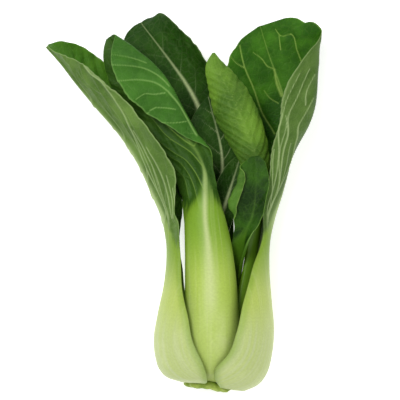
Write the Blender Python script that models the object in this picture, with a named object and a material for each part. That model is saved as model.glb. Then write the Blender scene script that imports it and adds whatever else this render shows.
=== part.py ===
"""A head of bok choy lying on its back, modelled in metres with +Z up.

The head's foot points to -Y and its leaf tips to +Y. The origin is the centre
of the small flat spot of the rear stalk that the head rests on. Each leaf is
a pale stalk, which runs on as a midrib, and a thin green blade on its inner
side.
"""

import math
from typing import NamedTuple

import bmesh
import bpy
import numpy as np

MM = 0.001

# Driving dimensions, in millimetres.
BLADE_THICKNESS = 0.8
GAP = 0.35
STALK_RIM = 1.5
RIM_SHARE = 0.6
STALK_ROUNDNESS = 0.75
FOOT_AXIS_Z = 29.0
FOOT_AXIS_X = -2.0
FOOT_PROFILE = (
    (10.5, -29.5),
    (13.4, -28.5),
    (13.0, -27.3),
    (6.2, -26.7),
    (5.0, -23.5),
    (4.6, -20.4),
)
FOOT_SIDES = 28
FLOOR_Z = 0.0
SPOT_HEIGHT = 1.5
UPRIGHT_TO = 62.0
UPRIGHT_OVER = 36.0
LEAN = 0.2
LEAN_FROM_X = -8.0
LEAN_DEPTH = 26.0

# How finely the surfaces are divided.
STALK_COLUMNS = 9
SECTION_STEPS = 64
LENGTH_STEPS = 400
HEADING_STEP = 0.001

# How many rows the wave of a blade takes to grow and to die away.
WAVE_IN_ROWS = 3
WAVE_OUT_ROWS = 2

STALK_ROUGHNESS = 0.4
BLADE_ROUGHNESS = 0.5
FOOT_ROUGHNESS = 0.7


class Station(NamedTuple):
    """One cross-section of a leaf, in millimetres and degrees.

    x, y and z place the middle of the leaf's inner face. face is the way that
    the inner face looks, turning from +Z over +X. left and right are the half
    widths of the sheet as seen on its inner face, and curl is how far each
    half turns inwards from the middle to its edge. rib and thick are the half
    width and the thickness of the stalk or midrib. fold is the turn of the
    side that the leaf folds, and fold_at is how far from the middle it starts.
    """

    x: float
    y: float
    z: float
    face: float
    left: float
    right: float
    curl_left: float
    curl_right: float
    rib: float
    thick: float
    fold: float = 0.0
    fold_at: float = 10.0


class Leaf(NamedTuple):
    """A leaf: its stations and how its blade is cut and waved."""

    name: str
    stations: tuple
    blade_from: float
    rib_to: float
    rows: int
    columns: int
    stalk_rows: int
    fold_side: int = 0
    fold_over: float = 9.0
    wave: float = 1.2
    waves: float = 5.0
    phase: float = 0.0


LEFT = Leaf(
    "left",
    (
        Station(-14.5, -26, 29, 90, 18.5, 16.5, 65, 56, 18.5, 5.5),
        Station(-19.5, -23.5, 29, 90, 28, 22.5, 73, 58, 28, 8.2),
        Station(-23, -19, 29, 90, 33.7, 27.6, 72, 59, 33.7, 9),
        Station(-26, -11, 29.2, 90, 36.7, 30.4, 64, 55, 36.7, 8.6),
        Station(-27.5, -1, 29.5, 90, 35.5, 31, 54, 54, 35.5, 8),
        Station(-26, 14, 29, 90, 31.7, 28.4, 42, 49, 31.7, 7.2),
        Station(-23.5, 34, 29, 90, 21, 18, 27, 38, 21, 5.6),
        Station(-23.5, 57, 30, 90, 14.5, 9, 30, 40, 12, 4.5),
        Station(-26.5, 72, 31, 90, 16.5, 14, 36, 50, 8, 3.8),
        Station(-34, 89, 32, 90, 27, 28, 56, 70, 5.5, 3.2),
        Station(-41.8, 105, 30, 90, 30, 34, 46, 82, 4.2, 2.7),
        Station(-53, 122, 26.5, 90, 30, 37, 36, 86, 3.2, 2.2),
        Station(-70.5, 142, 24, 90, 30, 34, 46, 94, 2.4, 1.8),
        Station(-82.5, 156, 24, 90, 24, 28, 50, 92, 1.8, 1.4),
        Station(-90.5, 166, 25, 90, 14, 21, 54, 84, 1.3, 1.1),
        Station(-95, 171, 26, 90, 8, 14, 44, 70, 1.2, 1.0),
        Station(-98, 174.3, 27, 90, 4, 8, 20, 40, 1.0, 1.0),
        Station(-99.4, 175.9, 27.5, 90, 1.5, 3, 4, 8, 1.0, 1.0),
    ),
    blade_from=63, rib_to=160, rows=18, columns=12, stalk_rows=18,
    wave=1.0, waves=4.0, phase=0.6,
)

RIGHT = Leaf(
    "right",
    (
        Station(13, -26.3, 29, -90, 16.5, 19, 56, 67, 19, 5),
        Station(18.5, -21, 29, -90, 22.5, 30, 58, 84, 30, 8),
        Station(22.5, -15.1, 29, -90, 27.6, 36.5, 59, 80, 36.5, 9),
        Station(25.5, -7.35, 29.2, -90, 30.4, 36.5, 55, 61, 36.5, 8.7),
        Station(27.3, 4, 29.5, -90, 31, 35.4, 54, 52, 35.4, 8),
        Station(27.3, 21, 29, -90, 28, 31, 49, 43, 31, 6.8),
        Station(27.5, 40, 28, -90, 19.5, 20.5, 42, 34, 20.5, 5.2),
        Station(28.4, 57, 26, -80, 14, 9, 44, 30, 12, 4.5),
        Station(32, 72, 24, -80, 17, 12, 42, 44, 8, 3.8),
        Station(38.2, 90, 20.5, -66, 25, 24, 34, 84, 5.5, 3.2),
        Station(43, 108, 17.5, -48, 31, 35, 28, 116, 4.2, 2.7, 10, 14),
        Station(44.2, 125, 15, -27, 34, 45, 24, 98, 3.4, 2.3, 56, 14),
        Station(42.6, 143, 13.5, -12, 36, 51, 22, 45, 2.7, 1.9, 116, 15),
        Station(38.5, 157, 13.5, -6, 35, 51, 24, 25, 2.2, 1.6, 132, 19.5),
        Station(34, 169, 14.5, -4, 29.5, 43, 26, 20, 1.7, 1.3, 126, 25),
        Station(32, 175, 15.2, -4, 24.5, 39, 24, 18, 1.5, 1.2, 116, 28),
        Station(30.5, 180, 16, -4, 19.5, 33.5, 18, 14, 1.3, 1.1, 100, 32),
        Station(29.6, 182.7, 16.4, -4, 15.5, 28, 14, 10, 1.2, 1.0, 60, 34),
        Station(29, 184.8, 16.8, -4, 11, 25, 8, 8, 1.1, 1.0, 0, 34),
        Station(28.4, 186.8, 17.1, -4, 5.5, 21.5, 3, 6, 1.0, 1.0, 0, 34),
        Station(28, 188, 17.3, -4, 1.5, 16, 1, 5, 1.0, 1.0, 0, 34),
    ),
    blade_from=63, rib_to=176, rows=28, columns=18, stalk_rows=18,
    fold_side=1, fold_over=20.0, wave=0.8, waves=4.0, phase=2.0,
)

FRONT = Leaf(
    "front",
    (
        Station(-2, -24, 36, 180, 7.5, 7.5, 45, 45, 7.5, 4.6),
        Station(-2, -19, 42.5, 180, 12, 12, 56, 56, 12, 6.4),
        Station(-1.6, -11, 47.5, 180, 15.5, 15.5, 60, 60, 15.5, 7.4),
        Station(-1.5, -1, 50, 180, 16.8, 16.8, 60, 60, 16.8, 7.6),
        Station(-1.5, 18, 49.5, 180, 16.5, 16.5, 58, 58, 16.5, 7.2),
        Station(-2.2, 38, 47.5, 180, 15.5, 15.5, 54, 54, 15.5, 6.2),
        Station(-3.6, 56, 45.5, 180, 14, 14, 50, 50, 14, 5.4),
        Station(-5.4, 73, 44.2, 180, 11.5, 13, 44, 46, 11.5, 4.7),
        Station(-5.4, 88, 44, 180, 8.4, 17, 32, 48, 6.6, 4.0, 0, 4),
        Station(-6.2, 101, 44, 180, 6, 22, 20, 50, 4.4, 3.2, -90, 3),
        Station(-11, 112.5, 44, 180, 10.5, 25.5, 10, 50, 4.2, 2.8, -156, 3.5),
        Station(-16, 119.2, 43.8, 180, 16, 26, 10, 50, 4.0, 2.6, -164, 4),
        Station(-21.8, 127, 43.5, 180, 22.5, 25, 10, 48, 3.6, 2.4, -166, 5),
        Station(-28.2, 139, 42.7, 180, 31, 23, 10, 46, 2.8, 2.0, -168, 5),
        Station(-34.6, 150, 42, 180, 35.5, 23.5, 10, 46, 2.3, 1.7, -168, 5),
        Station(-41.5, 158, 41.4, 180, 35, 23, 10, 44, 1.9, 1.5, -168, 5),
        Station(-49, 164.8, 40.6, 180, 31, 20.5, 10, 40, 1.6, 1.3, -168, 4.5),
        Station(-55.4, 170.6, 39.8, 180, 23.5, 15, 6, 32, 1.3, 1.1, -168, 4),
        Station(-60, 175.8, 39, 180, 12.5, 8, 4, 14, 1.1, 1.0, -164, 2.5),
        Station(-62.8, 179.6, 38.5, 180, 3.5, 2, 0, 2, 1.0, 1.0, -150, 1),
    ),
    blade_from=80, rib_to=164, rows=18, columns=16, stalk_rows=18,
    fold_side=-1, fold_over=7.0, wave=0.7, waves=7.0, phase=0.0,
)

BACK = Leaf(
    "back",
    (
        Station(0, -24.5, 22, 0, 7.5, 7.5, 45, 45, 7.5, 4.6),
        Station(0, -19, 15.5, 0, 11.5, 11.5, 56, 56, 11.5, 6.4),
        Station(0, -11, 10.6, 0, 14.5, 14.5, 60, 60, 14.5, 7.4),
        Station(0, -1, 8.4, 0, 15.8, 15.8, 60, 60, 15.8, 7.9),
        Station(0, 11, 8.4, 0, 15.8, 15.8, 58, 58, 15.8, 7.7),
        Station(-0.5, 30, 8.4, 0, 15.5, 15.5, 54, 54, 15.5, 6.8),
        Station(-1.5, 57, 9, 0, 14, 14, 45, 45, 14, 5.2),
        Station(-2, 78, 11, 0, 16, 15, 40, 40, 10, 4.2),
        Station(-3, 100, 13, 2, 27, 21, 34, 36, 7, 3.6),
        Station(-5, 120, 15, 4, 36, 24, 32, 40, 5, 3.0),
        Station(-9.4, 139, 17.5, 4, 38, 24, 32, 52, 3.8, 2.5),
        Station(-17.4, 154, 19.5, 2, 36, 22.5, 32, 62, 3.0, 2.0),
        Station(-24.5, 164, 21, 0, 32, 21, 30, 62, 2.2, 1.6),
        Station(-32, 174, 22.4, 0, 28, 19.5, 22, 50, 1.6, 1.3),
        Station(-38.3, 182.2, 22.4, 0, 22, 16.5, 12, 36, 1.2, 1.1),
        Station(-41.2, 186, 20.4, 0, 17.5, 14, 6, 28, 1.1, 1.0),
        Station(-43.2, 188.8, 17.6, 0, 11.5, 10, 2, 16, 1.0, 1.0),
        Station(-44.2, 190.6, 16, 0, 5, 4.5, 0, 4, 1.0, 1.0),
    ),
    blade_from=72, rib_to=180, rows=18, columns=12, stalk_rows=18,
    wave=1.0, waves=5.0, phase=1.0,
)

MIDDLE = Leaf(
    "middle",
    (
        Station(-5, -19, 23.5, 34, 5, 5, 40, 40, 5, 3.2),
        Station(-8, -4, 19.5, 34, 8.2, 8.2, 60, 60, 8.2, 4.6),
        Station(-7, 25, 19, 28, 8.2, 8.2, 55, 55, 8.2, 4.2),
        Station(-3, 57, 18.5, 10, 8.5, 8.5, 45, 45, 8.5, 4),
        Station(2, 80, 20.5, 0, 12, 12, 35, 35, 6, 3.2),
        Station(5, 98, 23, 0, 18, 16, 30, 36, 4, 2.6),
        Station(4.5, 112, 25, 0, 20, 16, 20, 36, 3, 2.1),
        Station(1.5, 126, 26.5, 0, 18, 15, 15, 36, 2.2, 1.7),
        Station(-1.5, 137, 27, 0, 11, 10, 8, 18, 1.6, 1.3),
        Station(-3.5, 145, 27, 0, 1, 1, 0, 1, 1.0, 1.0),
    ),
    blade_from=72, rib_to=134, rows=12, columns=10, stalk_rows=12,
    wave=1.4, waves=4.0, phase=2.4,
)

HEART = Leaf(
    "heart",
    (
        Station(-4, -19, 33, 80, 5, 5, 40, 40, 5, 3.4),
        Station(-6, 0, 34, 80, 7.5, 7.5, 60, 60, 7.5, 4),
        Station(-5, 30, 32, 66, 7.5, 7.5, 55, 55, 7.5, 3.8),
        Station(0.5, 60, 28.5, 24, 6.5, 6.5, 45, 45, 6, 3.4),
        Station(6, 78, 28.5, 0, 8, 8, 40, 40, 4.5, 2.8),
        Station(10.5, 92, 30, 0, 9, 8.5, 40, 40, 3, 2.2),
        Station(14, 103, 30.5, 0, 6, 6, 24, 24, 1.8, 1.5),
        Station(16, 110, 30.5, 0, 1, 1, 2, 2, 1.0, 1.0),
    ),
    blade_from=70, rib_to=100, rows=10, columns=8, stalk_rows=10,
    wave=0.5, waves=3.0, phase=0.4,
)

OLIVE = Leaf(
    "olive",
    (
        Station(10.5, -19, 32, -100, 4, 4, 40, 40, 4, 3.2),
        Station(16.2, -4, 32.2, -98, 6.4, 6.4, 60, 60, 6.4, 4.4),
        Station(16.8, 24, 31.2, -98, 6.4, 6.4, 55, 55, 6.4, 4.2),
        Station(20, 40, 28.5, -100, 6.2, 6.2, 50, 50, 6.2, 3.8),
        Station(22, 50, 26.4, -106, 6, 6, 45, 45, 6, 3.4),
        Station(24, 66, 28, -124, 6, 6, 40, 40, 5.6, 3.2),
        Station(26, 82, 30.5, -148, 6, 6, 40, 40, 5, 3.0),
        Station(26.5, 98, 34, -168, 7, 7, 40, 40, 4, 2.6),
        Station(24, 111, 37, -176, 11, 13, 60, 60, 3, 2.2),
        Station(18.5, 126, 39.5, -180, 13.8, 16.5, 62, 66, 2.4, 1.8),
        Station(11.5, 142, 40, -180, 12.4, 16.5, 60, 66, 1.9, 1.5),
        Station(5, 155, 39.5, -180, 8.8, 12, 50, 56, 1.4, 1.2),
        Station(0.5, 165, 38, -180, 4.2, 5.6, 24, 26, 1.1, 1.0),
        Station(-0.3, 170.5, 37, -180, 0.8, 0.8, 2, 2, 1.0, 1.0),
    ),
    blade_from=94, rib_to=158, rows=13, columns=10, stalk_rows=14,
    wave=0.5, waves=3.0, phase=0.0,
)

CURLY = Leaf(
    "curly",
    (
        Station(5.5, -19, 24.5, -44, 4.2, 4.2, 40, 40, 4.2, 3.2),
        Station(7.4, -4, 19, -34, 5.2, 5.2, 60, 60, 5.2, 4.0),
        Station(10, 24, 21.8, -34, 5.2, 5.2, 55, 55, 5.2, 4.0),
        Station(11.2, 39, 29, -34, 5, 5, 50, 50, 5, 3.6),
        Station(13, 50, 35.6, -32, 5, 5, 45, 45, 5, 3.4),
        Station(15.8, 59, 40.4, -28, 4.8, 4.8, 40, 40, 4.8, 3.0),
        Station(19.2, 66, 43, -18, 8.5, 5, 40, 30, 4.2, 2.8, 60, 7),
        Station(21.8, 71, 44.5, -12, 15.5, 5.5, 34, 30, 3.6, 2.5, 150, 10),
        Station(23.6, 78, 45.6, -6, 21.5, 6.5, 26, 30, 3.2, 2.3, 168, 13.5),
        Station(24.6, 88, 46, 2, 19.5, 7.5, 24, 24, 2.6, 1.9, 168, 11.5),
        Station(25, 95, 45.6, 4, 17, 7.5, 20, 16, 2.0, 1.6, 168, 9.5),
        Station(25, 101, 45, 4, 11.5, 6.5, 12, 10, 1.6, 1.3, 150, 7.5),
        Station(24.6, 106, 44.2, 2, 7, 5, 6, 6, 1.2, 1.1, 60, 6),
        Station(24.2, 109, 43.6, 0, 2.5, 2.5, 1, 1, 1.0, 1.0, 10, 3),
    ),
    blade_from=62, rib_to=96, rows=11, columns=12, stalk_rows=11,
    fold_side=-1, fold_over=5.0, wave=0.8, waves=4.0, phase=1.2,
)

LEAVES = (LEFT, RIGHT, FRONT, BACK, MIDDLE, HEART, OLIVE, CURLY)

STALK_COLOUR = (0.50, 0.66, 0.20, 1.0)
BLADE_COLOURS = {
    "left": (0.22, 0.33, 0.12, 1.0),
    "right": (0.13, 0.26, 0.06, 1.0),
    "front": (0.09, 0.22, 0.05, 1.0),
    "back": (0.06, 0.16, 0.03, 1.0),
    "middle": (0.05, 0.13, 0.03, 1.0),
    "heart": (0.05, 0.14, 0.03, 1.0),
    "olive": (0.20, 0.33, 0.05, 1.0),
    "curly": (0.13, 0.30, 0.05, 1.0),
}
FOOT_COLOUR = (0.36, 0.47, 0.08, 1.0)


def clear_scene():
    """Removes every object of the scene."""
    for thing in list(bpy.data.objects):
        bpy.data.objects.remove(thing, do_unlink=True)


def finish(name, colour, roughness):
    """A Principled material of one colour."""
    material = bpy.data.materials.new(name)
    material.use_nodes = True
    shader = material.node_tree.nodes["Principled BSDF"]
    shader.inputs["Base Color"].default_value = colour
    shader.inputs["Roughness"].default_value = roughness
    shader.inputs["Metallic"].default_value = 0.0
    return material


def add_object(name, bm, material):
    """An object of its own from a bmesh in millimetres, its faces outwards."""
    bmesh.ops.scale(bm, vec=(MM, MM, MM), verts=bm.verts)
    bmesh.ops.recalc_face_normals(bm, faces=bm.faces)
    mesh = bpy.data.meshes.new(name)
    bm.to_mesh(mesh)
    bm.free()
    mesh.materials.append(material)
    thing = bpy.data.objects.new(name, mesh)
    bpy.context.scene.collection.objects.link(thing)
    mesh.shade_smooth()
    return thing


def through(keys, at):
    """A smooth curve through rows of keys, read at the fractions in at.

    The rows are spaced by the distance between their first three values.
    """
    steps = np.linalg.norm(np.diff(keys[:, :3], axis=0), axis=1)
    knots = np.concatenate([[0.0], np.cumsum(steps)]) / steps.sum()
    slopes = np.gradient(keys, knots, axis=0)
    span = np.clip(np.searchsorted(knots, at, side="right") - 1, 0, len(knots) - 2)
    width = (knots[span + 1] - knots[span])[:, None]
    t = (at - knots[span])[:, None] / width
    return (
        (1 + 2 * t) * (1 - t) ** 2 * keys[span]
        + t * (1 - t) ** 2 * width * slopes[span]
        + t * t * (3 - 2 * t) * keys[span + 1]
        + t * t * (t - 1) * width * slopes[span + 1]
    )


def fraction_at(leaf, y):
    """How far along a leaf, from 0 to 1, its middle reaches the place y."""
    at = np.linspace(0, 1, LENGTH_STEPS)
    path = through(np.array(leaf.stations, float), at)[:, 1]
    return float(np.interp(y, path, at))


def leaned(place):
    """A place with the base of the head drawn down towards its right side."""
    t = min(max(-place[1] / LEAN_DEPTH, 0.0), 1.0)
    reach = max(place[0] - LEAN_FROM_X, 0.0)
    place[1] -= LEAN * reach * t * t * (3 - 2 * t)
    return place


class Sections:
    """The cross-sections of a leaf at some fractions of its length."""

    def __init__(self, leaf, at):
        keys = np.array(leaf.stations, float)
        keys[:, 6] = np.radians(keys[:, 6]) / keys[:, 4]
        keys[:, 7] = np.radians(keys[:, 7]) / keys[:, 5]
        self.leaf = leaf
        self.at = at
        rows = through(keys, at)
        ahead = through(keys, np.minimum(at + HEADING_STEP, 1))[:, :3]
        behind = through(keys, np.maximum(at - HEADING_STEP, 0))[:, :3]
        along = ahead - behind
        along /= np.linalg.norm(along, axis=1, keepdims=True)
        upright = np.clip((UPRIGHT_TO - rows[:, 1]) / UPRIGHT_OVER, 0, 1)[:, None]
        along = along * (1 - upright) + np.array([0.0, 1.0, 0.0]) * upright
        along /= np.linalg.norm(along, axis=1, keepdims=True)
        face = np.radians(rows[:, 3])
        inner = np.stack([np.sin(face), np.zeros_like(face), np.cos(face)], axis=1)
        inner -= (inner * along).sum(axis=1, keepdims=True) * along
        inner /= np.linalg.norm(inner, axis=1, keepdims=True)
        self.middle = rows[:, :3]
        self.inner = inner
        self.side = np.cross(along, inner)
        self.half = {-1: rows[:, 4], 1: rows[:, 5]}
        self.curl = {-1: rows[:, 6], 1: rows[:, 7]}
        self.rib = rows[:, 8]
        self.thick = rows[:, 9]
        self.fold = np.radians(rows[:, 10])
        self.fold_at = rows[:, 11]

    def turn(self, row, side, across):
        """How far the section has turned at a distance across from its middle."""
        turned = self.curl[side][row] * across
        if side == self.leaf.fold_side:
            t = np.clip((across - self.fold_at[row]) / self.leaf.fold_over, 0, 1)
            turned = turned + self.fold[row] * t * t * (3 - 2 * t)
        return turned

    def point(self, row, across, raised):
        """The place at a signed distance across, raised off the inner face."""
        side = -1 if across < 0 else 1
        step = abs(across) / SECTION_STEPS
        turned = self.turn(row, side, step * (np.arange(SECTION_STEPS) + 0.5))
        out = step * np.cos(turned).sum()
        up = step * np.sin(turned).sum()
        turned = self.turn(row, side, np.array([abs(across)]))
        here = (
            self.middle[row]
            + side * out * self.side[row]
            + up * self.inner[row]
        )
        normal = (
            -side * math.sin(turned[0]) * self.side[row]
            + math.cos(turned[0]) * self.inner[row]
        )
        return leaned(here + raised * normal)


def blade_mesh(leaf):
    """The middle sheet of a blade in triangles, its edge waved."""
    start = fraction_at(leaf, leaf.blade_from)
    at = start + (1 - start) * np.linspace(0, 1, leaf.rows + 1)
    sections = Sections(leaf, at)
    bm = bmesh.new()
    grid = []
    for row in range(leaf.rows + 1):
        line = []
        for column in range(leaf.columns + 1):
            share = abs(2 * column / leaf.columns - 1)
            side = -1 if column * 2 < leaf.columns else 1
            across = side * share * sections.half[side][row]
            along = (row / leaf.rows) * leaf.waves * math.tau
            fade = min(1.0, row / WAVE_IN_ROWS, (leaf.rows - row) / WAVE_OUT_ROWS)
            wave = leaf.wave * fade * share ** 3 * math.sin(along + leaf.phase + side)
            place = sections.point(row, across, wave)
            place[2] = max(place[2], FLOOR_Z + BLADE_THICKNESS / 2)
            line.append(bm.verts.new(place))
        grid.append(line)
    for row in range(leaf.rows):
        for column in range(leaf.columns):
            a = grid[row][column]
            b = grid[row][column + 1]
            c = grid[row + 1][column + 1]
            d = grid[row + 1][column]
            if column * 2 < leaf.columns:
                bm.faces.new((a, b, c))
                bm.faces.new((a, c, d))
            else:
                bm.faces.new((a, b, d))
                bm.faces.new((b, c, d))
    return bm


def add_blade(leaf):
    """The thin green sheet of a leaf."""
    bm = blade_mesh(leaf)
    material = finish(leaf.name + "_green", BLADE_COLOURS[leaf.name], BLADE_ROUGHNESS)
    thing = add_object(leaf.name + "_blade", bm, material)
    solid = thing.modifiers.new("Thickness", "SOLIDIFY")
    solid.thickness = BLADE_THICKNESS * MM
    solid.offset = 0.0
    return thing


def pressed(place):
    """A place of a stalk, laid flat on the floor where it comes near to it."""
    if place[2] < SPOT_HEIGHT:
        place[2] = FLOOR_Z
    return place


def add_stalk(leaf):
    """The pale stalk of a leaf, which narrows into the midrib behind the blade."""
    at = np.linspace(0, fraction_at(leaf, leaf.rib_to), leaf.stalk_rows + 1)
    sections = Sections(leaf, at)
    clear = BLADE_THICKNESS / 2 + GAP
    bm = bmesh.new()
    rings = []
    for row in range(leaf.stalk_rows + 1):
        shares = np.linspace(-1, 1, STALK_COLUMNS)
        rim = min(STALK_RIM, sections.thick[row] * RIM_SHARE)
        inner = []
        outer = []
        for share in shares:
            half = min(sections.rib[row], sections.half[-1 if share < 0 else 1][row])
            across = share * half
            swell = (1 - share * share) ** STALK_ROUNDNESS
            body = rim + (sections.thick[row] - rim) * swell
            inner.append(pressed(sections.point(row, across, -clear)))
            outer.append(pressed(sections.point(row, across, -clear - body)))
        rings.append([bm.verts.new(place) for place in inner + outer[::-1]])
    for below, above in zip(rings, rings[1:]):
        for place in range(len(below)):
            after = (place + 1) % len(below)
            corners = (below[place], below[after], above[after], above[place])
            bm.faces.new(corners)
    bm.faces.new(rings[0])
    bm.faces.new(rings[-1])
    bmesh.ops.triangulate(bm, faces=bm.faces)
    material = finish(leaf.name + "_pale", STALK_COLOUR, STALK_ROUGHNESS)
    return add_object(leaf.name + "_stalk", bm, material)


def add_foot():
    """The cut root plate: a low turned plate with a core inside the stalks."""
    bm = bmesh.new()
    rings = []
    for radius, y in FOOT_PROFILE:
        ring = []
        for step in range(FOOT_SIDES):
            angle = math.tau * step / FOOT_SIDES
            x = FOOT_AXIS_X + radius * math.cos(angle)
            z = FOOT_AXIS_Z + radius * math.sin(angle)
            ring.append(bm.verts.new(leaned(np.array([x, y, z]))))
        rings.append(ring)
    for below, above in zip(rings, rings[1:]):
        for step in range(FOOT_SIDES):
            after = (step + 1) % FOOT_SIDES
            bm.faces.new((below[step], below[after], above[after], above[step]))
    bm.faces.new(rings[0])
    bm.faces.new(rings[-1])
    bmesh.ops.triangulate(bm, faces=bm.faces)
    return add_object("stem_base", bm, finish("cut_root", FOOT_COLOUR, FOOT_ROUGHNESS))


def main():
    clear_scene()
    add_foot()
    for leaf in LEAVES:
        add_stalk(leaf)
        add_blade(leaf)


main()
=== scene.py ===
"""A head of bok choy lying on its back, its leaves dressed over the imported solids.

Every leaf is one continuous shell, from the swollen stalk at the cut root to the
thin, veined blade. Lengths in the leaf classes are in millimetres and the finished
meshes are in metres.
"""

from __future__ import annotations

import logging
import math
from collections.abc import Callable
from dataclasses import dataclass, field
from enum import Enum
from typing import NamedTuple

import bpy
import numpy as np
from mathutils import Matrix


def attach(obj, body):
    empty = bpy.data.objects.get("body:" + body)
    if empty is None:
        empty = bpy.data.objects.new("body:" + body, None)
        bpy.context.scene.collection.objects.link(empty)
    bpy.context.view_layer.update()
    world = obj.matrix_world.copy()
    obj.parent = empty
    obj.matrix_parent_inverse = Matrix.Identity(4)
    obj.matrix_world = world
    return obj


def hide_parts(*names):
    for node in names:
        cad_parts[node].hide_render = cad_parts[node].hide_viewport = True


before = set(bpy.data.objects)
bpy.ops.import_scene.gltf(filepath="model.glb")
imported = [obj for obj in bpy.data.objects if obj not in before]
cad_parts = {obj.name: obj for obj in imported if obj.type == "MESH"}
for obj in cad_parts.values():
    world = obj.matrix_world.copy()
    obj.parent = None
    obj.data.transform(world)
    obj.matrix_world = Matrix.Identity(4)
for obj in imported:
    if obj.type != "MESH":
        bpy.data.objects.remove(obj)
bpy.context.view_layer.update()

LOG = logging.getLogger("bok_choy")
MM = 0.001

Rgb = tuple[float, float, float]
Socket = bpy.types.NodeSocket


def tint(*levels: int) -> Rgb:
    """A display colour turned into linear light.

    Args:
        *levels: The red, green and blue levels, from 0 to 255.

    Returns:
        The three shares in linear light, from 0 to 1.
    """
    return tuple(
        share / 12.92 if share <= 0.04045 else ((share + 0.055) / 1.055) ** 2.4
        for share in (level / 255 for level in levels)
    )


def smooth(value: np.ndarray) -> np.ndarray:
    """A soft step from 0 to 1, flat below 0 and above 1."""
    t = np.clip(value, 0.0, 1.0)
    return t * t * (3 - 2 * t)


class Side(Enum):
    """The half of a leaf that folds, as seen on its inner face."""

    NONE = 0
    LEFT = -1
    RIGHT = 1


class Station(NamedTuple):
    """One cross-section of a leaf, in millimetres and degrees.

    x, y and z place the middle of the inner face, and face is the way that it
    looks, turning from +Z over +X. left and right are the half widths, curl_left
    and curl_right how far each half turns inwards. rib and thick are the half
    width and thickness of the stalk or midrib. fold is the turn of the folded
    side and fold_at how far from the middle it starts.
    """

    x: float
    y: float
    z: float
    face: float
    left: float
    right: float
    curl_left: float
    curl_right: float
    rib: float
    thick: float
    fold: float = 0.0
    fold_at: float = 10.0


def sections(*rows: tuple[float, ...]) -> tuple[Station, ...]:
    """The stations of a leaf from rows of their values, in the order above."""
    return tuple(Station(*row) for row in rows)


def through(keys: np.ndarray, at: np.ndarray) -> np.ndarray:
    """A smooth curve through rows of keys, spaced by their first three values.

    Args:
        keys: The rows that the curve passes through.
        at: The fractions of its length to read it at.

    Returns:
        One row for each fraction.
    """
    steps = np.linalg.norm(np.diff(keys[:, :3], axis=0), axis=1)
    knots = np.concatenate([[0.0], np.cumsum(steps)]) / steps.sum()
    slopes = np.gradient(keys, knots, axis=0)
    span = np.clip(np.searchsorted(knots, at, side="right") - 1, 0, len(knots) - 2)
    width = (knots[span + 1] - knots[span])[:, None]
    t = (at - knots[span])[:, None] / width
    return (
        (1 + 2 * t) * (1 - t) ** 2 * keys[span]
        + t * (1 - t) ** 2 * width * slopes[span]
        + t * t * (3 - 2 * t) * keys[span + 1]
        + t * t * (t - 1) * width * slopes[span + 1]
    )


def leaned(places: np.ndarray) -> np.ndarray:
    """Places with the base of the head drawn down towards its right side.

    Args:
        places: Places in millimetres, the last axis holding x, y and z.

    Returns:
        The same places, moved along y near the base.
    """
    base_depth = 26.0
    from_x = -8.0
    lean = 0.2
    reach = np.maximum(places[..., 0] - from_x, 0.0)
    moved = places.copy()
    moved[..., 1] -= lean * reach * smooth(-places[..., 1] / base_depth)
    return moved


def deselected() -> None:
    """Deselects everything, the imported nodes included."""
    for thing in list(bpy.context.selected_objects):
        thing.select_set(False)


def face_outwards() -> None:
    """Turns the faces of the active mesh outwards."""
    bpy.ops.object.mode_set(mode="EDIT")
    bpy.ops.mesh.select_all(action="SELECT")
    bpy.ops.mesh.normals_make_consistent(inside=False)
    bpy.ops.object.mode_set(mode="OBJECT")


def points_of(mesh: bpy.types.Mesh) -> np.ndarray:
    """The places of a mesh's points.

    Args:
        mesh: The mesh.

    Returns:
        A row of x, y and z for each point.
    """
    places = np.zeros(len(mesh.vertices) * 3, np.float32)
    mesh.vertices.foreach_get("co", places)
    return places.reshape(-1, 3)


def move_points(mesh: bpy.types.Mesh, places: np.ndarray) -> None:
    """Moves a mesh's points to new places, one row for each point."""
    mesh.vertices.foreach_set("co", places.astype(np.float32).ravel())


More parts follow.
